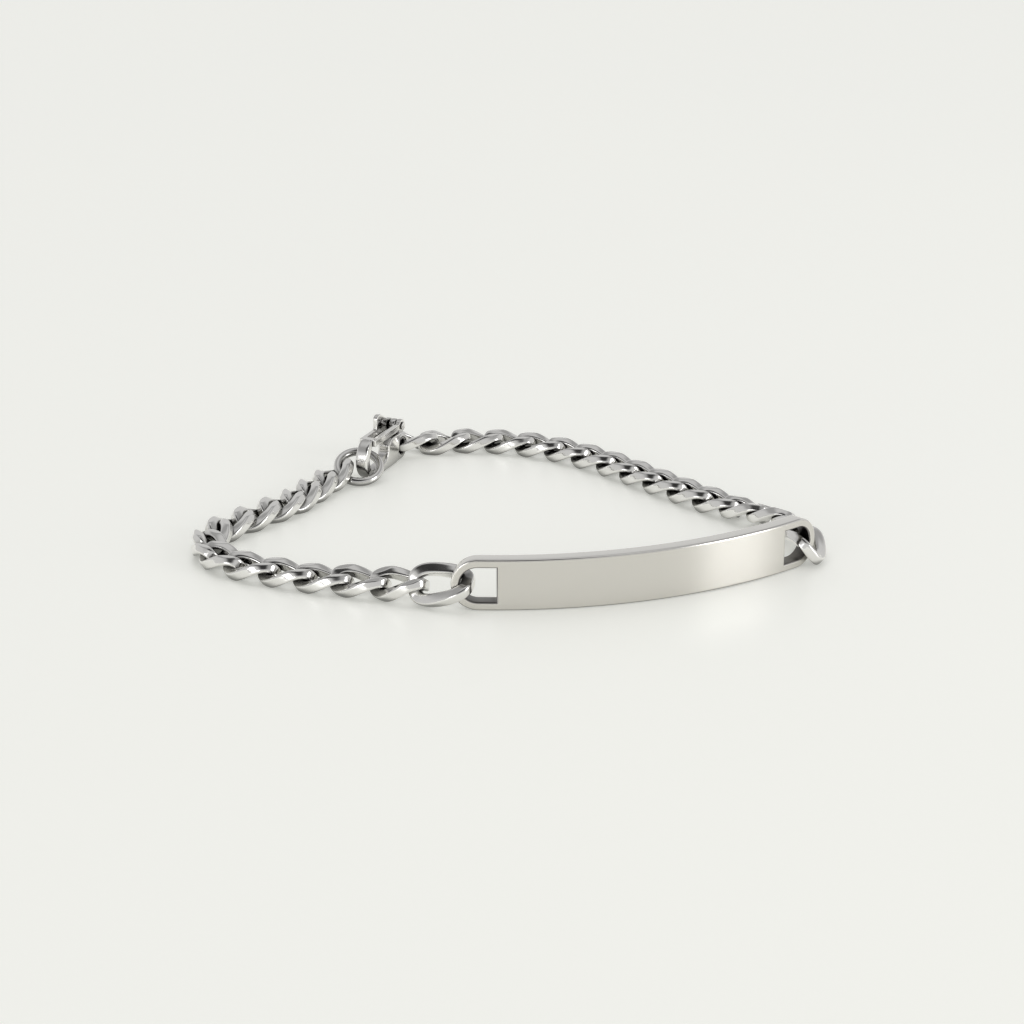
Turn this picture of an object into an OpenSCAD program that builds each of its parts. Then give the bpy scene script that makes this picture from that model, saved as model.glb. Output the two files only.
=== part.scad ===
// ID bracelet of stainless steel, closed and lying on a table: a curved bare plate that stands on
// its lower long edge, two lengths of curb chain that lie flat, a jump ring and a trigger clasp.
// Millimetres, +X along the plate, +Y from the plate towards the clasp, +Z up from the table.
// The origin is on the table, in the middle of the ground that the bracelet covers.

/* [Plate] */
// Height of the plate, from the edge it stands on
plate_height = 6; // [5.5:0.25:8]
// Thickness of the plate
plate_thickness = 1.8; // [1.2:0.1:2]
// Radius of the plate's outer face, seen from above
plate_radius = 53.7; // [45:0.5:80]
// Length of the outer face, measured round its curve
plate_length = 45.8; // [36:0.2:50]
// Bevel along the plate's long edges
plate_bevel = 0.25; // [0.1:0.05:0.5]
// Metal left round the slot at each end of the plate
slot_rim = 1; // [0.8:0.05:1.2]
// Length of the slot, from its round side to its straight one
slot_length = 4.1; // [3.4:0.1:5]

/* [Chain] */
// Length of one curb link over its metal
link_length = 7.2; // [6.8:0.1:8]
// Width of one curb link over its metal
link_width = 4.5; // [4.4:0.1:5]
// Thickness of the wire that the links are bent from
link_wire = 1.12; // [0.9:0.02:1.16]
// Height of the chain between its two ground faces
chain_height = 2.2; // [1.9:0.05:2.6]
// Angle by which each end of a link is turned out of the link's middle plane
link_twist = 50; // [45:1:55]
// Bevel ground along both edges of the chain's faces
chain_bevel = 0.3; // [0.1:0.05:0.5]
// Links of the left chain, between its slot link and the jump ring
left_links = 14; // [14:1:15]
// Links of the right chain, between its slot link and the clasp
right_links = 15; // [15:1:16]
// How much tighter the left chain is drawn at the plate than at the ring, as a share of its pitch
left_draw = 0.09; // [0:0.01:0.1]

/* [Slot links] */
// Length of the larger link that hangs in each slot, over its metal
slot_link_length = 7.7; // [7.4:0.1:9]
// Width of that link over its metal
slot_link_width = 5.3; // [5.1:0.1:5.6]
// Thickness of its wire
slot_link_wire = 1.2; // [1:0.05:1.25]
// Angle by which each of its ends is turned out of its middle plane
slot_link_twist = 28; // [20:1:35]

/* [Jump ring] */
// Diameter of the jump ring over its metal
ring_diameter = 6.4; // [6:0.1:7]
// Thickness of its wire
ring_wire = 1; // [0.8:0.05:1.1]
// Slope at which the ring leans back
ring_lean = 27; // [22:1:28]

/* [Clasp] */
// Length of the clasp from its nose to its pivot
clasp_length = 10.2; // [9.6:0.2:12]
// Height of the clasp's hook over its metal
clasp_height = 5.5; // [5.2:0.1:6.5]
// Width of the clasp across its cheeks
clasp_width = 2.3; // [2.1:0.1:3]
// Width of the hook, between the lever's two arms
hook_width = 1.6; // [1.3:0.1:2]
// Thickness of the hook's metal
hook_metal = 1.15; // [0.9:0.05:1.3]
// Height of the lever's two arms
lever_height = 0.9; // [0.7:0.05:1]
// Height of the thumb tab above the lever
tab_height = 1.8; // [1.2:0.1:2.4]
// Radius of the hinge pin
pin_radius = 0.4; // [0.3:0.02:0.45]
// Room round the pin in the lever's holes
pin_play = 0.04; // [0.02:0.01:0.08]
// Radius of the hole in the clasp's eye
eye_hole_radius = 0.95; // [0.85:0.05:1.1]
// Metal round that hole
eye_rim = 0.7; // [0.6:0.05:0.9]

/* [Hidden] */

FINE = 96;
// Stations along the wire of a link, and sides across it
LINK_STATIONS = 16;
LINK_SIDES = 6;
// Fullness of the links' outlines, where 1 is an ellipse and more is squarer
LINK_FULLNESS = 1.25;
SLOT_LINK_FULLNESS = 1.8;
// Steps of a chain's route between two of its points
ROUTE_STEPS = 12;

// The plate's outer face touches this line, and its middle lies in this direction from the centre
PLATE_FRONT = -28.02;
PLATE_MIDDLE = -71;
PLATE_CENTRE = [-1.18, PLATE_FRONT + plate_radius];
PLATE_MEAN_RADIUS = plate_radius - plate_thickness / 2;
PLATE_HALF_SPAN = turned(plate_length / 2, plate_radius);
SLOT_RADIUS = plate_height / 2 - slot_rim;
// How far a slot link hangs clear of the metal at the end of its slot, and how far out of the
// plate's mid surface each of the two is drawn
SLOT_PLAY = 0.4;
LEFT_DRAWN_OUT = 0.1;
RIGHT_DRAWN_OUT = 1.17;

// The clasp's nose stands here, and the clasp points this way
CLASP_NOSE = [-18.78, 13.68];
CLASP_DIRECTION = 68;
LEVER_GAP = 0.12;
LEVER_TOP = clasp_height - 0.2;
PIVOT = [clasp_length, LEVER_TOP - lever_height / 2];
KNUCKLE_RADIUS = lever_height;
LEVER_TIP = 2.1;
TIP_LENGTH = 1;
// Shares of the clasp's width that an arm of the lever and the eye take
ARM_SHARE = 0.26;
EYE_SHARE = 0.6;
ARM_WIDTH = clasp_width * ARM_SHARE;
LUG_WIDTH = clasp_width - 2 * ARM_WIDTH - 2 * LEVER_GAP;
// Radius and thickness of the pin's heads
PIN_HEAD = [pin_radius + 0.2, 0.15];
EYE_RADIUS = eye_hole_radius + eye_rim;
// How far the eye's middle stands behind the pivot
EYE_BACK = 0.9;
EYE = [clasp_length + EYE_BACK, EYE_RADIUS];
EYE_THICKNESS = clasp_width * EYE_SHARE;
HOOK_RADIUS = clasp_height / 2;
LOOP_RADIUS = HOOK_RADIUS - hook_metal;
BACK_LENGTH = 3.4;
LOOP_END = clasp_length - BACK_LENGTH;
BACK_TOP = PIVOT.y - KNUCKLE_RADIUS - LEVER_GAP;
TAB_ROUND = 0.6;
// How far the thumb tab's top stands before the pivot
TAB_BACK = 3.4;
// Sunk depth of the tab's foot, and flat length on its top
TAB_SUNK = 0.2;
TAB_FLAT = 0.5;
// The neck joins the eye to the back: how far it reaches in, and its height in eye radii
EYE_NECK = 1.6;
NECK_SHARE = 1.6;
// Solid back of the clasp: its foot ends before the pivot, it bulges behind it at this height,
// its top ends behind it, and the top and the throat begin so far from the loop's end
BACK_FOOT = 0.9;
BACK_BULGE = [0.2, 2.6];
BACK_HEEL = 0.4;
BACK_STEP = 1.2;
BACK_THROAT = 0.6;
// Foot of the lug: how far it stands behind the pivot, and how deep it sits in the back
LUG_HEEL = 0.4;
LUG_SUNK = 0.5;

// The ring stands on the table and leans back into the hook
RING_RADIUS = (ring_diameter - ring_wire) / 2;
RING_CENTRE = [-19.15, 15.22, ring_wire / 2 + RING_RADIUS * sin(ring_lean)];
RING_TURN = 10;
// Place round the ring where the left chain holds it
RING_HOLD = 190;
// How far beside the middle of the clasp's eye the right chain pulls
EYE_OFF = 0.7;

// Points of the two routes, from the plate to the ring and from the plate to the clasp, as shares
// of the straight way between a route's two ends: along it, and sideways to its left
LEFT_ROUTE = [[0.021, 0.042], [0.2, 0.233], [0.216, 0.273], [0.457, 0.496], [0.572, 0.479],
    [0.642, 0.49], [0.809, 0.21], [0.835, 0.181]];
RIGHT_ROUTE = [[0.055, -0.062], [0.113, -0.101], [0.182, -0.116], [0.313, -0.132],
    [0.448, -0.157], [0.608, -0.189], [0.759, -0.187], [0.885, -0.135], [0.949, -0.067]];

// Roll and climb of the links next to the plate, beginning with the slot link
LEFT_POSES = [[-43, -7], [-20, -7], [-10, 0]];
RIGHT_POSES = [[23, 1], [33, -1], [25, -4], [11, -3]];
// The same of each chain's last link
LEFT_LAST = [-6, 5];
RIGHT_LAST = [11, 7];

// Angle that an arc of this length turns through
function turned(arc, radius) = arc / radius * 180 / PI;
function polar(angle, radius) = radius * [cos(angle), sin(angle)];
function unit(v) = v / norm(v);
function signed_power(v, n) = sign(v) * pow(abs(v), n);

// Wire of a link: its centre line is a full oval, twisted evenly from one end to the other
function link_bend(half, twist, fullness, angle) =
    let (x = half.x * signed_power(cos(angle), 1 / fullness),
         r = half.y * signed_power(sin(angle), 1 / fullness),
         turn = -twist * x / half.x)
    [x, r * cos(turn), r * sin(turn), turn];
function place_of(bend) = [bend.x, bend.y, bend.z];
function link_ring(half, wire, twist, fullness, angle) =
    let (bend = link_bend(half, twist, fullness, angle),
         along = unit(place_of(link_bend(half, twist, fullness, angle + 1))
             - place_of(link_bend(half, twist, fullness, angle - 1))),
         face = [0, -sin(bend[3]), cos(bend[3])],
         up = unit(face - along * (along * face)),
         side = cross(up, along))
    [for (j = [0 : LINK_SIDES - 1]) let (a = (j + 0.5) * 360 / LINK_SIDES)
        place_of(bend) + wire / 2 * (cos(a) * side + sin(a) * up)];
function ground(p, height) = [p.x, p.y, max(-height / 2, min(height / 2, p.z))];
function bevelled(p, width, height) =
    let (over = max(0, abs(p.y) + abs(p.z) - (width + height) / 2 + chain_bevel * sqrt(2)))
    [p.x, p.y - sign(p.y) * over / 2, p.z - sign(p.z) * over / 2];
function link_points(length, width, wire, twist, fullness, height) =
    [for (i = [0 : LINK_STATIONS - 1])
        for (p = link_ring([length - wire, width - wire] / 2, wire, twist, fullness,
            (i + 0.5) * 360 / LINK_STATIONS))
            bevelled(ground(p, height), width, height)];
function corner(i, j) = (i % LINK_STATIONS) * LINK_SIDES + j % LINK_SIDES;
LINK_FACES = [for (i = [0 : LINK_STATIONS - 1], j = [0 : LINK_SIDES - 1])
    for (face = [[corner(i, j), corner(i + 1, j), corner(i + 1, j + 1)],
        [corner(i, j), corner(i + 1, j + 1), corner(i, j + 1)]]) face];

LINK_POINTS = link_points(link_length, link_width, link_wire, link_twist, LINK_FULLNESS,
    chain_height);
SLOT_LINK_POINTS = link_points(slot_link_length, slot_link_width, slot_link_wire,
    slot_link_twist, SLOT_LINK_FULLNESS, slot_link_width);

// How high a link's middle is when its lowest point is on the table
function rest_height(points, pose) =
    -min([for (p = points)
        p.x * sin(pose[1]) + (p.y * sin(pose[0]) + p.z * cos(pose[0])) * cos(pose[1])]);

// Smooth curve through the points of a route
function smooth(p, i, t) =
    let (a = p[max(i - 1, 0)], b = p[i], c = p[i + 1], d = p[min(i + 2, len(p) - 1)])
    b + (c - a) * t / 2 + (2 * a - 5 * b + 4 * c - d) * t * t / 2
        + (3 * b - a - 3 * c + d) * t * t * t / 2;
function curve(p) =
    [for (i = [0 : len(p) - 2]) for (k = [0 : ROUTE_STEPS - 1]) smooth(p, i, k / ROUTE_STEPS),
        p[len(p) - 1]];
function lengths(p) =
    [for (i = 0, s = 0; i < len(p);
        s = s + (i + 1 < len(p) ? norm(p[i + 1] - p[i]) : 0), i = i + 1) s];
function spread(start, end, shares) =
    let (way = end - start)
    [start, for (q = shares) start + q.x * way + q.y * [-way.y, way.x], end];
function table_of(p) =
    let (s = lengths(p)) [for (axis = [0, 1]) [for (i = [0 : len(p) - 1]) [s[i], p[i][axis]]]];
function spot(table, s) = [lookup(s, table[0]), lookup(s, table[1])];
function last(list) = list[len(list) - 1];

// Where each route begins and ends: at the metal that its first and last link pull on
function slot_end(side, drawn_out) =
    PLATE_CENTRE + polar(PLATE_MIDDLE
        + side * (PLATE_HALF_SPAN - turned(slot_rim + SLOT_PLAY, plate_radius)),
        PLATE_MEAN_RADIUS + drawn_out);
RING_GRIP = [RING_CENTRE.x, RING_CENTRE.y]
    + polar(RING_TURN, (RING_RADIUS - ring_wire / 2) * cos(RING_HOLD))
    + polar(RING_TURN + 90, (RING_RADIUS - ring_wire / 2) * sin(RING_HOLD) * cos(ring_lean));
EYE_GRIP = CLASP_NOSE + polar(CLASP_DIRECTION, EYE.x + eye_hole_radius)
    + polar(CLASP_DIRECTION + 90, EYE_OFF);
LEFT_TABLE = table_of(curve(spread(slot_end(-1, LEFT_DRAWN_OUT), RING_GRIP, LEFT_ROUTE)));
RIGHT_TABLE = table_of(curve(spread(slot_end(1, RIGHT_DRAWN_OUT), EYE_GRIP, RIGHT_ROUTE)));

// Joints between the links, counted from the plate's slot
SLOT_PITCH = slot_link_length - 2 * slot_link_wire;
function run(table) = last(table[0])[0];
function joint(table, count, draw, k) =
    let (t = (k - 1) / count)
    k == 0 ? spot(table, 0)
        : spot(table, SLOT_PITCH + (run(table) - SLOT_PITCH) * (t + draw * t * (1 - t)));
function pose(poses, last_pose, count, k) =
    k == count ? last_pose : k < len(poses) ? poses[k] : [0, 0];

function two_digits(k) = str(k < 10 ? "0" : "", k);
LEFT_NAMES = ["slot_link_left", for (k = [1 : left_links]) str("link_left_", two_digits(k))];
RIGHT_NAMES = ["slot_link_right", for (k = [1 : right_links]) str("link_right_", two_digits(k))];

// Section of the plate, with its bevelled long edges
module plate_section() {
    inner = plate_radius - plate_thickness;
    polygon([[inner, plate_bevel], [inner + plate_bevel, 0], [plate_radius - plate_bevel, 0],
        [plate_radius, plate_bevel], [plate_radius, plate_height - plate_bevel],
        [plate_radius - plate_bevel, plate_height], [inner + plate_bevel, plate_height],
        [inner, plate_height - plate_bevel]]);
}

// Straight cutter through the plate, drawn flat at one end: x is the way to that end
module through_end(side) {
    end = PLATE_MIDDLE + side * PLATE_HALF_SPAN;
    centre = end - side * turned(plate_height / 2, plate_radius);
    rotate([0, 0, centre])
        translate([plate_radius - plate_thickness / 2, 0, plate_height / 2])
            rotate([90, 0, 90])
                scale([side, 1, 1])
                    linear_extrude(plate_thickness * 3, center = true)
                        children();
}

// What is cut away outside the round end
module end_waste() {
    difference() {
        translate([0, -plate_height])
            square([plate_height, 2 * plate_height]);
        circle(plate_height / 2, $fn = FINE);
    }
}

// D-shaped slot: round towards the end of the plate, straight towards its middle
module slot_outline() {
    circle(SLOT_RADIUS, $fn = FINE);
    translate([SLOT_RADIUS - slot_length, -SLOT_RADIUS])
        square([slot_length - SLOT_RADIUS, 2 * SLOT_RADIUS]);
}

module id_plate() {
    color("Silver")
        translate([PLATE_CENTRE.x, PLATE_CENTRE.y, 0])
            difference() {
                rotate([0, 0, PLATE_MIDDLE - PLATE_HALF_SPAN])
                    rotate_extrude(angle = 2 * PLATE_HALF_SPAN, $fn = 4 * FINE)
                        plate_section();
                for (side = [-1, 1]) {
                    through_end(side)
                        end_waste();
                    through_end(side)
                        slot_outline();
                }
            }
}

// A link between two joints of its chain, rolled and climbing as its pose says
module chain_link(points, from, to, pose) {
    way = to - from;
    middle = (from + to) / 2;
    color("LightSteelBlue")
        translate([middle.x, middle.y, rest_height(points, pose)])
            rotate([0, -pose[1], atan2(way.y, way.x)])
                rotate([pose[0], 0, 0])
                    polyhedron(points, LINK_FACES);
}

module link_left(k) {
    chain_link(k == 0 ? SLOT_LINK_POINTS : LINK_POINTS,
        joint(LEFT_TABLE, left_links, left_draw, k),
        joint(LEFT_TABLE, left_links, left_draw, k + 1),
        pose(LEFT_POSES, LEFT_LAST, left_links, k));
}

module link_right(k) {
    chain_link(k == 0 ? SLOT_LINK_POINTS : LINK_POINTS,
        joint(RIGHT_TABLE, right_links, 0, k),
        joint(RIGHT_TABLE, right_links, 0, k + 1),
        pose(RIGHT_POSES, RIGHT_LAST, right_links, k));
}

module jump_ring() {
    color("Gainsboro")
        translate(RING_CENTRE)
            rotate([0, 0, RING_TURN])
                rotate([ring_lean, 0, 0])
                    rotate_extrude($fn = FINE)
                        translate([RING_RADIUS, 0])
                            circle(ring_wire / 2, $fn = FINE / 4);
}

// Stands a flat outline up along the clasp, with its thickness across it
module upright(thickness, across = 0) {
    translate([CLASP_NOSE.x, CLASP_NOSE.y, 0])
        rotate([90, 0, CLASP_DIRECTION])
            translate([0, 0, across])
                linear_extrude(thickness, center = true)
                    children();
}

// Hook, loop and solid back of the clasp, cut away where the lever lies
module hook_outline() {
    difference() {
        union() {
            translate([HOOK_RADIUS, HOOK_RADIUS])
                circle(HOOK_RADIUS, $fn = FINE);
            polygon([[HOOK_RADIUS, 0], [clasp_length - BACK_FOOT, 0],
                [clasp_length + BACK_BULGE.x, BACK_BULGE.y], [clasp_length + BACK_HEEL, BACK_TOP],
                [LOOP_END + BACK_STEP, BACK_TOP], [LOOP_END - BACK_THROAT, HOOK_RADIUS],
                [HOOK_RADIUS, HOOK_RADIUS]]);
        }
        for (u = [HOOK_RADIUS, LOOP_END - LOOP_RADIUS])
            translate([u, HOOK_RADIUS])
                circle(LOOP_RADIUS, $fn = FINE);
        translate([HOOK_RADIUS, hook_metal])
            square([LOOP_END - HOOK_RADIUS - LOOP_RADIUS, 2 * LOOP_RADIUS]);
        translate([LEVER_TIP - LEVER_GAP, HOOK_RADIUS + LOOP_RADIUS / 2])
            square([LOOP_END - LEVER_TIP, clasp_height]);
    }
}

module eye_outline() {
    translate(EYE)
        circle(EYE_RADIUS, $fn = FINE);
    translate([clasp_length - EYE_NECK, 0])
        square([EYE.x - clasp_length + EYE_NECK, EYE_RADIUS * NECK_SHARE]);
}

module lug_outline() {
    translate(PIVOT)
        circle(KNUCKLE_RADIUS, $fn = FINE);
    translate([PIVOT.x - KNUCKLE_RADIUS, BACK_TOP - LUG_SUNK])
        square([KNUCKLE_RADIUS + LUG_HEEL, PIVOT.y - BACK_TOP + LUG_SUNK]);
}

// Hook with its eye and, soldered in, the pin that the lever turns on
module clasp_body() {
    color("DarkGray") {
        difference() {
            union() {
                upright(hook_width)
                    hook_outline();
                upright(EYE_THICKNESS)
                    eye_outline();
                upright(LUG_WIDTH)
                    lug_outline();
            }
            upright(2 * clasp_width)
                translate(EYE)
                    circle(eye_hole_radius, $fn = FINE);
        }
        upright(clasp_width + 2 * LEVER_GAP + PIN_HEAD[1])
            translate(PIVOT)
                circle(pin_radius, $fn = FINE);
        for (side = [-1, 1])
            upright(PIN_HEAD[1], side * (clasp_width / 2 + LEVER_GAP + PIN_HEAD[1] / 2))
                translate(PIVOT)
                    circle(PIN_HEAD[0], $fn = FINE);
    }
}

module lever_outline() {
    translate([LEVER_TIP, PIVOT.y - lever_height / 2])
        square([PIVOT.x - LEVER_TIP, lever_height]);
    translate(PIVOT)
        circle(KNUCKLE_RADIUS, $fn = FINE);
}

// Thumb tab: a fin that rises from the far arm and slopes down to the pivot
module tab_outline() {
    tip = [PIVOT.x - TAB_BACK, LEVER_TOP + tab_height - TAB_ROUND];
    polygon([[tip.x - TAB_ROUND, LEVER_TOP - TAB_SUNK], [tip.x - TAB_ROUND, tip.y],
        [tip.x, tip.y + TAB_ROUND], [tip.x + TAB_FLAT, tip.y + TAB_ROUND],
        [PIVOT.x, LEVER_TOP + TAB_SUNK], [PIVOT.x, LEVER_TOP - TAB_SUNK]]);
    translate(tip)
        circle(TAB_ROUND, $fn = FINE);
}

// Lever: two arms that straddle the clasp's lug, joined at the tip
module clasp_lever() {
    color("SlateGray")
        difference() {
            union() {
                for (side = [-1, 1])
                    upright(ARM_WIDTH, side * (clasp_width - ARM_WIDTH) / 2)
                        lever_outline();
                upright(clasp_width)
                    translate([LEVER_TIP, PIVOT.y - lever_height / 2])
                        square([TIP_LENGTH, lever_height]);
                upright(ARM_WIDTH, (ARM_WIDTH - clasp_width) / 2)
                    tab_outline();
            }
            upright(2 * clasp_width)
                translate(PIVOT)
                    circle(pin_radius + pin_play, $fn = FINE);
        }
}

id_plate();
for (k = [0 : left_links]) link_left(k);
for (k = [0 : right_links]) link_right(k);
jump_ring();
clasp_body();
clasp_lever();
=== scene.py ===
import math

import bmesh
import bpy
import numpy as np
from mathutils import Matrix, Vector


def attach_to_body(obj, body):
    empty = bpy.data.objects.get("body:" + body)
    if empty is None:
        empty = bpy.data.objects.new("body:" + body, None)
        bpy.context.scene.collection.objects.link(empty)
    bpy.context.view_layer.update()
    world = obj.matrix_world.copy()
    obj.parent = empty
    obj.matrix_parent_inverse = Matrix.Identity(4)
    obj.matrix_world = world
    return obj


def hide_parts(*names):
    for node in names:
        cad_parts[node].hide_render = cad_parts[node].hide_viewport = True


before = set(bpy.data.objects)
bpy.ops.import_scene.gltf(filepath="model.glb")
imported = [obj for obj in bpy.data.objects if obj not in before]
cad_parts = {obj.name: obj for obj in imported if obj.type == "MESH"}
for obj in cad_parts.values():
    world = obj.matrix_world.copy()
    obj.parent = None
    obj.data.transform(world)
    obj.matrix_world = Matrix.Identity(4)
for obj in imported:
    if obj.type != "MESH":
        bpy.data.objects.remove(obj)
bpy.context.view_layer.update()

MM = 0.001

# Camera: lens, sensor, pitch below the level and place in millimetres, from the photo's perspective
LENS_MM = 77.34
SENSOR_MM = 36
PITCH_DEG = 20.4
CAMERA_PLACE = (0.52, -251.62, 94.8)
CLIP_START = 0.01

# Plate, in millimetres: it bends round PLATE_CENTRE, and its middle stands at PLATE_MIDDLE degrees
PLATE_HEIGHT = 6
PLATE_THICKNESS = 1.8
PLATE_RADIUS = 53.7
PLATE_LENGTH = 45.8
PLATE_MIDDLE = -71
PLATE_FRONT = -28.02
PLATE_CENTRE = np.array([-1.18, PLATE_FRONT + PLATE_RADIUS])
PLATE_MEAN_RADIUS = PLATE_RADIUS - PLATE_THICKNESS / 2
PLATE_ROUNDING = 0.25
SLOT_RIM = 1
SLOT_LENGTH = 4.1
SLOT_PLAY = 0.4
# Steps round the plate's ends, its slots' ends and its rounded edges, and cuts all along it
END_STEPS = 48
SLOT_STEPS = 40
EDGE_STEPS = 3
PLATE_CUTS = 160
# Points this near to each other are one point, and points this near to a cut lie on it
SAME_POINT = 1e-4
CUT_MARGIN = 1e-3
# A face of the plate that is turned to a flat side by more than this belongs to it
FLAT_SIDE = 0.96
# Places of the plate's materials; the slots' material is dark steel that paints shade into them
FLAT, EDGE, SLOT_SHADE = 0, 1, 2

# Links, in millimetres and degrees: length and width over all, width and thickness of the wire, twist
# of each end, fullness of the oval, height between the ground faces and bevel beside them
LINK = {"length": 7.16, "width": 4.26, "wire": 1.2, "thin": 1.25, "twist": 51, "full": 1.3,
        "height": 2.5, "bevel": 0.3}
SLOT_LINK = {"length": 7.55, "width": 5.06, "wire": 1.4, "thin": 1.25, "twist": 28, "full": 1.6,
             "height": 2.9, "bevel": 0.45}
# How far along the route the slot link reaches, and how square the wire's section is
SLOT_PITCH = 5.3
SQUARENESS = 5
# Softness of the ground faces' edges, and how many times as far over a face the rounding ends
GRIND_SOFTNESS = 0.02
GRIND_END = 12
# Points that the oval is measured with, stations along the wire of a link and sides round it
OVAL_POINTS = 1440
STATIONS = 96
SIDES = 44

# Ring, in millimetres and degrees: the chain is held by the solid's wire, and the drawn one is thicker
RING_DIAMETER = 6.4
RING_WIRE = 1
RING_DRAWN_WIRE = 1.1
RING_LEAN = 27
RING_TURN = 10
RING_HOLD = 190
RING_PLACE = np.array([-19.15, 15.22])
RING_STATIONS = 120
RING_SIDES = 32

# Clasp: its nose and direction, and how far along it and beside it the chain holds its eye
NOSE = np.array([-18.78, 13.68])
CLASP_DIRECTION = 68
EYE_PULL = 12.05
EYE_OFF = 0.7
# Points this near are joined before the clasp is softened, and strength of one round of smoothing
WELD = 0.005
POLISH = 0.5

# The two routes of the chain, as shares of the straight way between their ends
LEFT_ROUTE = [(0.021, 0.042), (0.2, 0.233), (0.216, 0.273), (0.457, 0.496), (0.572, 0.479),
              (0.642, 0.49), (0.809, 0.21), (0.835, 0.181)]
RIGHT_ROUTE = [(0.055, -0.062), (0.113, -0.101), (0.182, -0.116), (0.313, -0.132),
               (0.448, -0.157), (0.608, -0.189), (0.759, -0.187), (0.885, -0.135), (0.949, -0.067)]
ROUTE_STEPS = 12
# The two sides of the chain: direction along the plate, start out of its mid surface, number of links,
# how much wider the first links are spaced, and roll and climb of the first pieces and of the last
LEFT = {"side": -1, "out": 0.1, "count": 14, "draw": 0.09,
        "poses": [(-43, -7), (-20, -7), (-10, 0)], "last": (-6, 5)}
RIGHT = {"side": 1, "out": 1.17, "count": 15, "draw": 0,
         "poses": [(23, 1), (33, -1), (25, -4), (11, -3)], "last": (11, 7)}

# Depth of scratches in metres, and rays that look for narrow gaps to paint shade into
SCRATCH_DEPTH = 0.00002
GAP_SHADE_RAYS = 8

TABLE_SIZE = 6
# Room light at the horizon, overhead and at heights between them
HORIZON = (0.66, 0.66, 0.65, 1)
OVERHEAD = (0.6, 0.6, 0.6, 1)
SKY_LEVELS = ((0.5, 0.62), (0.66, 0.36), (0.84, 0.36), (0.93, 0.6))
# Dark patch of the room: its direction, how near to it the patch begins and is full, and its level
DARK_WAY = (-0.09, -0.5, 0.86)
DARK_START = 0.86
DARK_FULL = 0.94
DARK_LEVEL = 0.1
# Window light: spread and turn in degrees, and strength
WINDOW_SPREAD = 60
WINDOW_TURN = (-25, -10)
WINDOW_ENERGY = 0.55
# Light cards, in metres and watts
RIGHT_CARD = {"place": (0.5, -0.235, 0.16), "aim": (0, 0, 0.003), "size": (0.2, 0.3), "power": 0.65}
LEFT_CARD = {"place": (-0.42, -0.6, 0.17), "aim": (0, 0, 0), "size": (0.35, 0.22), "power": 0.6}


def polar(angle, radius):
    """Point at an angle in degrees and a radius."""
    return radius * np.array([math.cos(math.radians(angle)), math.sin(math.radians(angle))])


def turned(arc, radius):
    """Angle in degrees of a length round a radius."""
    return math.degrees(arc / radius)


def turn_matrix(yaw, climb, roll):
    """Turn by a roll, then a climb of the front end, then a yaw, in degrees."""
    y, t, r = (math.radians(v) for v in (yaw, climb, roll))
    about_z = np.array([[math.cos(y), -math.sin(y), 0], [math.sin(y), math.cos(y), 0], [0, 0, 1]])
    about_y = np.array([[math.cos(t), 0, -math.sin(t)], [0, 1, 0], [math.sin(t), 0, math.cos(t)]])
    about_x = np.array([[1, 0, 0], [0, math.cos(r), -math.sin(r)], [0, math.sin(r), math.cos(r)]])
    return about_z @ about_y @ about_x


# Objects


def add_object(name, data):
    obj = bpy.data.objects.new(name, data)
    bpy.context.scene.collection.objects.link(obj)
    return obj


def smooth_faces(mesh):
    for polygon in mesh.polygons:
        polygon.use_smooth = True


def mesh_object(name, points, faces):
    """Smooth mesh from points in millimetres."""
    mesh = bpy.data.meshes.new(name)
    mesh.from_pydata((np.asarray(points) * MM).tolist(), [], faces)
    mesh.update()
    smooth_faces(mesh)
    return add_object(name, mesh)


def grid_faces(rows, columns):
    """Faces of a closed grid of rows and columns."""
    return [(i * columns + j, (i + 1) % rows * columns + j,
             (i + 1) % rows * columns + (j + 1) % columns, i * columns + (j + 1) % columns)
            for i in range(rows) for j in range(columns)]


def attach(obj, node, body, material):
    """Puts a piece on its body in place of its CAD node."""
    obj.data.materials.clear()
    obj.data.materials.append(material)
    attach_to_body(obj, body)
    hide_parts(node)


# Chain


def smooth_curve(points):
    """Smooth curve through the points of a route."""
    out = []
    last = len(points) - 1
    for i in range(last):
        a, b, c, d = points[max(i - 1, 0)], points[i], points[i + 1], points[min(i + 2, last)]
        for k in range(ROUTE_STEPS):
            t = k / ROUTE_STEPS
            out.append(b + (c - a) * t / 2 + (2 * a - 5 * b + 4 * c - d) * t * t / 2
                       + (3 * b - a - 3 * c + d) * t ** 3 / 2)
    return np.array(out + [points[last]])


def joints_of(side, end, shares):
    """Where the links of a side meet, from the plate's slot on."""
    half_span = turned(PLATE_LENGTH / 2, PLATE_RADIUS)
    at = PLATE_MIDDLE + side["side"] * (half_span - turned(SLOT_RIM + SLOT_PLAY, PLATE_RADIUS))
    start = PLATE_CENTRE + polar(at, PLATE_MEAN_RADIUS + side["out"])
    way = end - start
    across = np.array([-way[1], way[0]])
    path = smooth_curve([start] + [start + x * way + y * across for x, y in shares] + [end])
    along = np.concatenate([[0], np.cumsum(np.linalg.norm(np.diff(path, axis=0), axis=1))])
    out = [path[0]]
    for k in range(side["count"] + 1):
        t = k / side["count"]
        s = SLOT_PITCH + (along[-1] - SLOT_PITCH) * (t + side["draw"] * t * (1 - t))
        out.append(np.array([np.interp(s, along, path[:, 0]), np.interp(s, along, path[:, 1])]))
    return out


def over_limit(value, limit):
    """How much is ground off what stands over a limit, with a small rounding at its edge."""
    over = (value - limit) / GRIND_SOFTNESS
    rounded = np.log1p(np.exp(np.minimum(over, GRIND_END)))
    return GRIND_SOFTNESS * np.where(over > GRIND_END, over, rounded)


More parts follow.
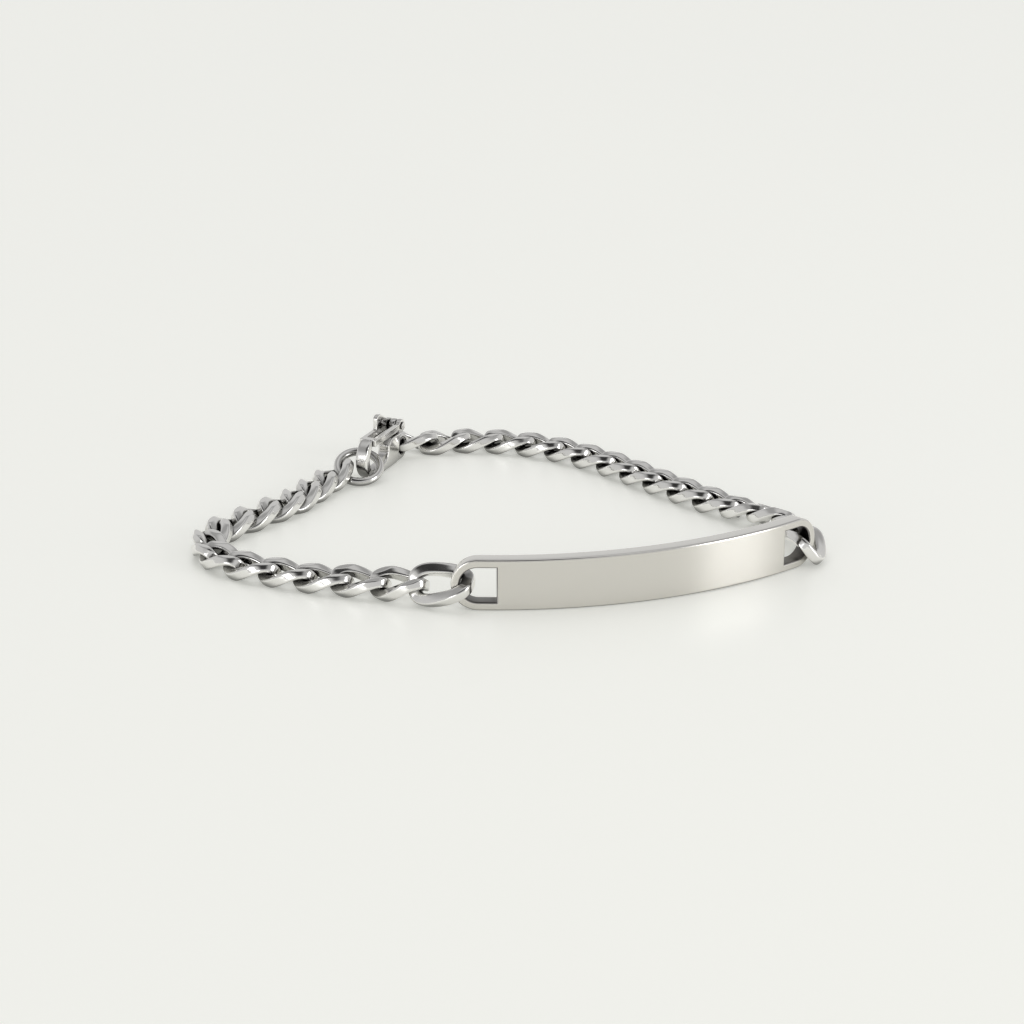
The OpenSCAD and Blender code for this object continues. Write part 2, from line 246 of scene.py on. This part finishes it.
def oval_stations(kind):
    """Middle line of a link's wire and its turn at even stations: an oval with its ends twisted."""
    half = np.array([kind["length"] - kind["wire"], kind["width"] - kind["wire"]]) / 2
    power = 1 / kind["full"]

    def bend(angle):
        c, s = math.cos(angle), math.sin(angle)
        x = half[0] * math.copysign(abs(c) ** power, c)
        r = half[1] * math.copysign(abs(s) ** power, s)
        turn = -math.radians(kind["twist"]) * x / half[0]
        return np.array([x, r * math.cos(turn), r * math.sin(turn)]), turn

    fine = [bend(2 * math.pi * (i + 0.5) / OVAL_POINTS) for i in range(OVAL_POINTS)]
    path = np.array([point for point, _ in fine])
    turns = np.array([turn for _, turn in fine])
    step = np.linalg.norm(np.roll(path, -1, 0) - path, axis=1)
    along = np.concatenate([[0], np.cumsum(step)])
    closed = np.vstack([path, path[:1]])
    closed_turns = np.append(turns, turns[0])
    want = np.linspace(0, along[-1], STATIONS, endpoint=False)
    middle = np.stack([np.interp(want, along, closed[:, k]) for k in range(3)], 1)
    return middle, np.interp(want, along, closed_turns)


def ground(points, kind):
    """Grinds a link's upper and lower faces flat and bevels them."""
    points[:, 2] -= np.sign(points[:, 2]) * over_limit(np.abs(points[:, 2]), kind["height"] / 2)
    reach = (kind["height"] + kind["width"]) / 2 - kind["bevel"] * math.sqrt(2)
    cut = over_limit(np.abs(points[:, 1]) + np.abs(points[:, 2]), reach) / 2
    points[:, 1] -= np.sign(points[:, 1]) * cut
    points[:, 2] -= np.sign(points[:, 2]) * cut
    return points


def link_points(kind):
    """Points of a link: squarish wire along the twisted oval, with ground faces."""
    middle, turn = oval_stations(kind)
    way = np.roll(middle, -1, 0) - np.roll(middle, 1, 0)
    way /= np.linalg.norm(way, axis=1)[:, None]
    face = np.stack([0 * turn, -np.sin(turn), np.cos(turn)], 1)
    up = face - way * (way * face).sum(1)[:, None]
    up /= np.linalg.norm(up, axis=1)[:, None]
    side = np.cross(up, way)
    rings = []
    for j in range(SIDES):
        c, s = math.cos(2 * math.pi * j / SIDES), math.sin(2 * math.pi * j / SIDES)
        reach = (abs(c) ** SQUARENESS + abs(s) ** SQUARENESS) ** (-1 / SQUARENESS)
        rings.append(middle + reach / 2 * (kind["wire"] * c * side + kind["thin"] * s * up))
    return ground(np.stack(rings, 1).reshape(-1, 3), kind)


def place_link(points, begin, end, pose):
    """Lays a link on the table between two joints, rolled and climbing as its pose says."""
    way = end - begin
    middle = (begin + end) / 2
    turn = turn_matrix(math.degrees(math.atan2(way[1], way[0])), pose[1], pose[0])
    placed = points @ turn.T
    return placed + np.array([middle[0], middle[1], -placed[:, 2].min()])


def chain(name, side, end, shares, material):
    """The slot link and the links of one side."""
    joints = joints_of(side, end, shares)
    regular, large = link_points(LINK), link_points(SLOT_LINK)
    # A link's stations run against its sides, so its faces are turned round to look outwards
    faces = [face[::-1] for face in grid_faces(STATIONS, SIDES)]
    poses = dict(enumerate(side["poses"]))
    poses[side["count"]] = side["last"]
    for k in range(side["count"] + 1):
        node = "slot_link_" + name if k == 0 else "link_%s_%02d" % (name, k)
        points = large if k == 0 else regular
        placed = place_link(points, joints[k], joints[k + 1], poses.get(k, (0, 0)))
        link = mesh_object("fine_" + node, placed, faces)
        attach(link, node, "bracelet", material)


# Plate


def rounded_arc(centre, radius, start, stop, steps):
    return [(centre[0] + radius * math.cos(math.radians(start + (stop - start) * k / steps)),
             centre[1] + radius * math.sin(math.radians(start + (stop - start) * k / steps)))
            for k in range(steps + 1)]


def plate_outlines():
    """Outline and slots of the flat plate: x along it, y up from its lower edge."""
    half, mid, rad = PLATE_LENGTH / 2, PLATE_HEIGHT / 2, PLATE_HEIGHT / 2
    outer = rounded_arc((half - rad, mid), rad, -90, 90, END_STEPS) \
        + rounded_arc((-half + rad, mid), rad, 90, 270, END_STEPS)
    slots = []
    hole = rad - SLOT_RIM
    inner = half - SLOT_RIM - SLOT_LENGTH
    for side in (-1, 1):
        arc = rounded_arc((half - rad, mid), hole, -90, 90, SLOT_STEPS)
        loop = arc + [(inner, mid + hole), (inner, mid - hole)]
        slots.append([(side * x, y) for x, y in loop])
    return outer, slots


def filled_curve(name, loops, thickness, rounding):
    """Flat metal with rounded edges, cut to these loops."""
    data = bpy.data.curves.new(name, "CURVE")
    data.dimensions = "2D"
    data.fill_mode = "BOTH"
    data.extrude = thickness / 2 - rounding
    data.bevel_depth = rounding
    data.bevel_resolution = EDGE_STEPS
    data.offset = -rounding
    for loop in loops:
        spline = data.splines.new("POLY")
        spline.points.add(len(loop) - 1)
        for point, (x, y) in zip(spline.points, loop):
            point.co = (x, y, 0, 1)
        spline.use_cyclic_u = True
    obj = add_object(name, data)
    graph = bpy.context.evaluated_depsgraph_get()
    mesh = bpy.data.meshes.new_from_object(obj.evaluated_get(graph))
    bpy.data.objects.remove(obj)
    return mesh


def cut_along(work):
    """Closes the flat plate's mesh and cuts it all along, so that it bends smoothly."""
    bmesh.ops.remove_doubles(work, verts=work.verts, dist=SAME_POINT)
    for k in range(1, PLATE_CUTS):
        x = -PLATE_LENGTH / 2 + PLATE_LENGTH * k / PLATE_CUTS
        geometry = work.verts[:] + work.edges[:] + work.faces[:]
        bmesh.ops.bisect_plane(work, geom=geometry, dist=CUT_MARGIN, plane_co=(x, 0, 0),
                               plane_no=(1, 0, 0))
    bmesh.ops.dissolve_degenerate(work, dist=CUT_MARGIN, edges=work.edges)
    bmesh.ops.recalc_face_normals(work, faces=work.faces)


def finish_or_shade_of(face):
    """Material of a face of the flat plate; the faces inside the slots get dark steel as painted
    shade.
    """
    if abs(face.normal.z) > FLAT_SIDE:
        return FLAT
    x, y, _ = face.calc_center_median()
    past_end = max(abs(x) - PLATE_LENGTH / 2 + PLATE_HEIGHT / 2, 0)
    in_slot = math.hypot(past_end, y - PLATE_HEIGHT / 2) < PLATE_HEIGHT / 2 - SLOT_RIM / 2
    return SLOT_SHADE if in_slot else EDGE


def bend_plate(work):
    """Stands the flat plate on its edge and bends it round its centre, in metres."""
    for vert in work.verts:
        angle = PLATE_MIDDLE + turned(vert.co.x, PLATE_RADIUS)
        x, y = PLATE_CENTRE + polar(angle, PLATE_MEAN_RADIUS + vert.co.z)
        vert.co = Vector((x * MM, y * MM, vert.co.y * MM))


def plate(face_material, edge_material, slot_shade_material):
    outer, slots = plate_outlines()
    mesh = filled_curve("plate", [outer] + slots, PLATE_THICKNESS, PLATE_ROUNDING)
    work = bmesh.new()
    work.from_mesh(mesh)
    cut_along(work)
    finish_or_shade = [finish_or_shade_of(face) for face in work.faces]
    bend_plate(work)
    work.to_mesh(mesh)
    work.free()
    obj = add_object("fine_id_plate", mesh)
    smooth_faces(mesh)
    obj.modifiers.new("normals", "WEIGHTED_NORMAL").keep_sharp = True
    attach(obj, "id_plate", "bracelet", face_material)
    mesh.materials.append(edge_material)
    mesh.materials.append(slot_shade_material)
    for polygon, index in zip(mesh.polygons, finish_or_shade):
        polygon.material_index = index


# Ring and clasp


def ring_grip():
    """Where the left side of the chain holds the ring."""
    pull = RING_DIAMETER / 2 - RING_WIRE
    hold = math.radians(RING_HOLD)
    return RING_PLACE + polar(RING_TURN, pull * math.cos(hold)) \
        + polar(RING_TURN + 90, pull * math.sin(hold) * math.cos(math.radians(RING_LEAN)))


def eye_grip():
    """Where the right side of the chain holds the clasp's eye."""
    return NOSE + polar(CLASP_DIRECTION, EYE_PULL) + polar(CLASP_DIRECTION + 90, EYE_OFF)


def ring(material):
    radius, thin = (RING_DIAMETER - RING_WIRE) / 2, RING_DRAWN_WIRE / 2
    points = []
    for i in range(RING_STATIONS):
        a = 2 * math.pi * i / RING_STATIONS
        for j in range(RING_SIDES):
            b = 2 * math.pi * j / RING_SIDES
            r = radius + thin * math.cos(b)
            points.append((r * math.cos(a), r * math.sin(a), thin * math.sin(b)))
    turn = turn_matrix(RING_TURN, 0, 0) @ turn_matrix(0, 0, RING_LEAN)
    placed = np.array(points) @ turn.T
    height = thin + radius * math.sin(math.radians(RING_LEAN))
    placed += np.array([RING_PLACE[0], RING_PLACE[1], height])
    obj = mesh_object("fine_jump_ring", placed, grid_faces(RING_STATIONS, RING_SIDES))
    attach(obj, "jump_ring", "bracelet", material)


def soften(node, cell, rounds, material):
    """Rounds a CAD node's edges as casting and polishing do."""
    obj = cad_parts[node]
    obj.modifiers.new("weld", "WELD").merge_threshold = WELD * MM
    remesh = obj.modifiers.new("cells", "REMESH")
    remesh.mode = "VOXEL"
    remesh.voxel_size = cell * MM
    remesh.use_smooth_shade = True
    smooth = obj.modifiers.new("polish", "SMOOTH")
    smooth.factor = POLISH
    smooth.iterations = rounds
    obj.data.materials.clear()
    obj.data.materials.append(material)


def clasp_body(material):
    soften("clasp_body", cell=0.07, rounds=60, material=material)


def clasp_lever(material):
    soften("clasp_lever", cell=0.05, rounds=14, material=material)


# Materials


class Nodes:
    """Adds nodes to a material or a world, and sets or links their inputs by name."""

    def __init__(self, owner, shader):
        owner.use_nodes = True
        self.tree = owner.node_tree
        self.shader = self.tree.nodes[shader]

    def fill(self, socket, value):
        """Links a socket to an output, or sets it to a constant."""
        if isinstance(value, bpy.types.NodeSocket):
            self.tree.links.new(value, socket)
        else:
            socket.default_value = value

    def add(self, kind, **inputs):
        node = self.tree.nodes.new(kind)
        for key, value in inputs.items():
            self.fill(node.inputs[key.replace("_", " ")], value)
        return node

    def vector(self, operation, *values):
        node = self.tree.nodes.new("ShaderNodeVectorMath")
        node.operation = operation
        for socket, value in zip(node.inputs, values):
            self.fill(socket, value)
        return node

    def put(self, socket, value):
        """Gives the shader one of its inputs."""
        self.fill(self.shader.inputs[socket], value)


def new_material(name):
    material = bpy.data.materials.new(name)
    nodes = Nodes(material, "Principled BSDF")
    return material, nodes, nodes.add("ShaderNodeTexCoord").outputs["Object"]


def scratches(nodes, place, scale, stretch):
    """Fine scratches all over, as a height."""
    mapping = nodes.add("ShaderNodeMapping", Vector=place, Scale=stretch)
    return nodes.add("ShaderNodeTexNoise", Vector=mapping.outputs[0], Scale=scale, Detail=3.0,
                     Roughness=0.6)


def painted_gap_shade(nodes, colour, shade_reach):
    """Colour with painted shade, darkened in narrow gaps, where light doesn't reach."""
    gap = nodes.add("ShaderNodeAmbientOcclusion", Distance=shade_reach)
    gap.samples = GAP_SHADE_RAYS
    light = nodes.add("ShaderNodeMapRange", Value=gap.outputs["AO"], From_Min=0.35, From_Max=0.85,
                      To_Min=0.3, To_Max=1.0).outputs[0]
    tone = nodes.add("ShaderNodeCombineColor", Red=light, Green=light, Blue=light)
    mix = nodes.add("ShaderNodeMix")
    mix.data_type = "RGBA"
    mix.blend_type = "MULTIPLY"
    mix.inputs["Factor"].default_value = 1.0
    first, second = [socket for socket in mix.inputs if socket.type == "RGBA"]
    nodes.fill(first, colour)
    nodes.fill(second, tone.outputs[0])
    return [socket for socket in mix.outputs if socket.type == "RGBA"][0]


def steel(name, colour, roughness, scratch, spread, shade_reach):
    """Polished steel with faint scratches and smudges, and with painted shade that darkens it in gaps
    narrower than the given reach.
    """
    material, nodes, place = new_material(name)
    fine = scratches(nodes, place, 1500.0, (1, 1, 4))
    smudge = nodes.add("ShaderNodeTexNoise", Vector=place, Scale=260.0, Detail=2.0)
    rough = nodes.add("ShaderNodeMapRange", Value=smudge.outputs[0], From_Min=0.35, From_Max=0.7,
                      To_Min=roughness, To_Max=roughness + spread)
    bump = nodes.add("ShaderNodeBump", Height=fine.outputs[0], Strength=scratch,
                     Distance=SCRATCH_DEPTH)
    nodes.put("Base Color", painted_gap_shade(nodes, colour, shade_reach))
    nodes.put("Metallic", 1.0)
    nodes.put("Roughness", rough.outputs[0])
    nodes.put("Normal", bump.outputs[0])
    return material


def chain_steel():
    return steel("chain_steel", (0.83, 0.82, 0.80, 1), roughness=0.12, scratch=0.05, spread=0.06,
                 shade_reach=0.0014)


def clasp_steel():
    return steel("clasp_steel", (0.84, 0.83, 0.81, 1), roughness=0.1, scratch=0.05, spread=0.05,
                 shade_reach=0.003)


def edge_steel():
    return steel("edge_steel", (0.9, 0.885, 0.85, 1), roughness=0.12, scratch=0.04, spread=0.05,
                 shade_reach=0.0025)


# Dark steel as painted shade on the inner faces of the plate's slots
def slot_shade_steel():
    return steel("slot_shade_steel", (0.3, 0.29, 0.28, 1), roughness=0.3, scratch=0.06, spread=0.1,
                 shade_reach=0.003)


def grain_tangent(nodes, place):
    """Direction across the plate's lengthwise grain, which runs round the plate's centre."""
    centre = nodes.vector("SUBTRACT", place, (PLATE_CENTRE[0] * MM, PLATE_CENTRE[1] * MM, 0))
    along = nodes.vector("CROSS_PRODUCT", (0, 0, 1), centre.outputs[0])
    normal = nodes.add("ShaderNodeNewGeometry").outputs["Normal"]
    return nodes.vector("CROSS_PRODUCT", normal, along.outputs[0]).outputs[0]


def plate_steel():
    """Satin steel: its lengthwise grain draws reflections out across it."""
    material, nodes, place = new_material("plate_steel")
    grain = scratches(nodes, place, 900.0, (0.35, 0.35, 6))
    smudge = nodes.add("ShaderNodeTexNoise", Vector=place, Scale=180.0, Detail=2.0)
    rough = nodes.add("ShaderNodeMapRange", Value=smudge.outputs[0], To_Min=0.21, To_Max=0.27)
    bump = nodes.add("ShaderNodeBump", Height=grain.outputs[0], Strength=0.08,
                     Distance=SCRATCH_DEPTH)
    nodes.put("Base Color", (0.70, 0.68, 0.64, 1))
    nodes.put("Metallic", 1.0)
    nodes.put("Roughness", rough.outputs[0])
    nodes.put("Anisotropic", 0.85)
    nodes.put("Tangent", grain_tangent(nodes, place))
    nodes.put("Normal", bump.outputs[0])
    return material


def table_top():
    """Pale smooth board that glows faintly, as a studio floor lit all round does."""
    material, nodes, place = new_material("table_top")
    tone = nodes.add("ShaderNodeTexNoise", Vector=place, Scale=6.0, Detail=2.0)
    level = nodes.add("ShaderNodeMapRange", Value=tone.outputs[0], To_Min=0.82, To_Max=0.84)
    colour = nodes.add("ShaderNodeCombineColor", Red=level.outputs[0], Green=level.outputs[0],
                       Blue=0.8)
    nodes.put("Base Color", colour.outputs[0])
    nodes.put("Roughness", 0.3)
    nodes.put("Specular IOR Level", 0.25)
    nodes.put("Emission Color", (0.99, 1.0, 0.93, 1))
    nodes.put("Emission Strength", 0.3)
    return material


# Table, light and camera


def table():
    bpy.ops.mesh.primitive_plane_add(size=TABLE_SIZE, location=(0, 0, 0))
    floor = bpy.context.object
    floor.name = "table"
    floor.data.materials.append(table_top())


def card(name, place, aim, size, power):
    """Soft light from a rectangle."""
    data = bpy.data.lights.new(name, "AREA")
    data.shape = "RECTANGLE"
    data.size, data.size_y = size
    data.energy = power
    obj = add_object(name, data)
    obj.location = place
    obj.rotation_euler = (Vector(aim) - Vector(place)).to_track_quat("-Z", "Y").to_euler()


def sky():
    """Room light: bright at the horizon and overhead, dimmer between, dark high up in front."""
    world = bpy.data.worlds.new("studio")
    bpy.context.scene.world = world
    nodes = Nodes(world, "Background")
    way = nodes.add("ShaderNodeTexCoord").outputs["Generated"]
    split = nodes.add("ShaderNodeSeparateXYZ", Vector=way)
    light = nodes.add("ShaderNodeValToRGB")
    nodes.fill(light.inputs[0], split.outputs["Z"])
    steps = light.color_ramp.elements
    steps[0].color = HORIZON
    steps[1].color = OVERHEAD
    for height, level in SKY_LEVELS:
        steps.new(height).color = (level, level, level, 1)
    near = nodes.vector("DOT_PRODUCT", way, DARK_WAY)
    dark = nodes.add("ShaderNodeMapRange", Value=near.outputs["Value"], From_Min=DARK_START,
                     From_Max=DARK_FULL, To_Min=1.0, To_Max=DARK_LEVEL)
    both = nodes.vector("SCALE", light.outputs[0])
    nodes.fill(both.inputs["Scale"], dark.outputs[0])
    nodes.put("Color", both.outputs[0])


def window():
    """Wide soft light from above, which polished metal doesn't mirror."""
    data = bpy.data.lights.new("window", "SUN")
    data.angle = math.radians(WINDOW_SPREAD)
    data.energy = WINDOW_ENERGY
    obj = add_object("window", data)
    obj.rotation_euler = [math.radians(turn) for turn in WINDOW_TURN] + [0]
    obj.visible_glossy = False


def camera():
    data = bpy.data.cameras.new("camera")
    data.lens = LENS_MM
    data.sensor_width = SENSOR_MM
    data.clip_start = CLIP_START
    obj = add_object("camera", data)
    obj.location = [v * MM for v in CAMERA_PLACE]
    obj.rotation_euler = (math.radians(90 - PITCH_DEG), 0, 0)
    bpy.context.scene.camera = obj


def main():
    chain_metal, clasp_metal = chain_steel(), clasp_steel()
    chain("left", LEFT, ring_grip(), LEFT_ROUTE, chain_metal)
    chain("right", RIGHT, eye_grip(), RIGHT_ROUTE, chain_metal)
    plate(plate_steel(), edge_steel(), slot_shade_steel())
    ring(clasp_metal)
    clasp_body(clasp_metal)
    clasp_lever(clasp_metal)
    table()
    sky()
    window()
    card("right", **RIGHT_CARD)
    card("left", **LEFT_CARD)
    camera()
    bpy.context.scene.view_settings.view_transform = "Standard"


main()
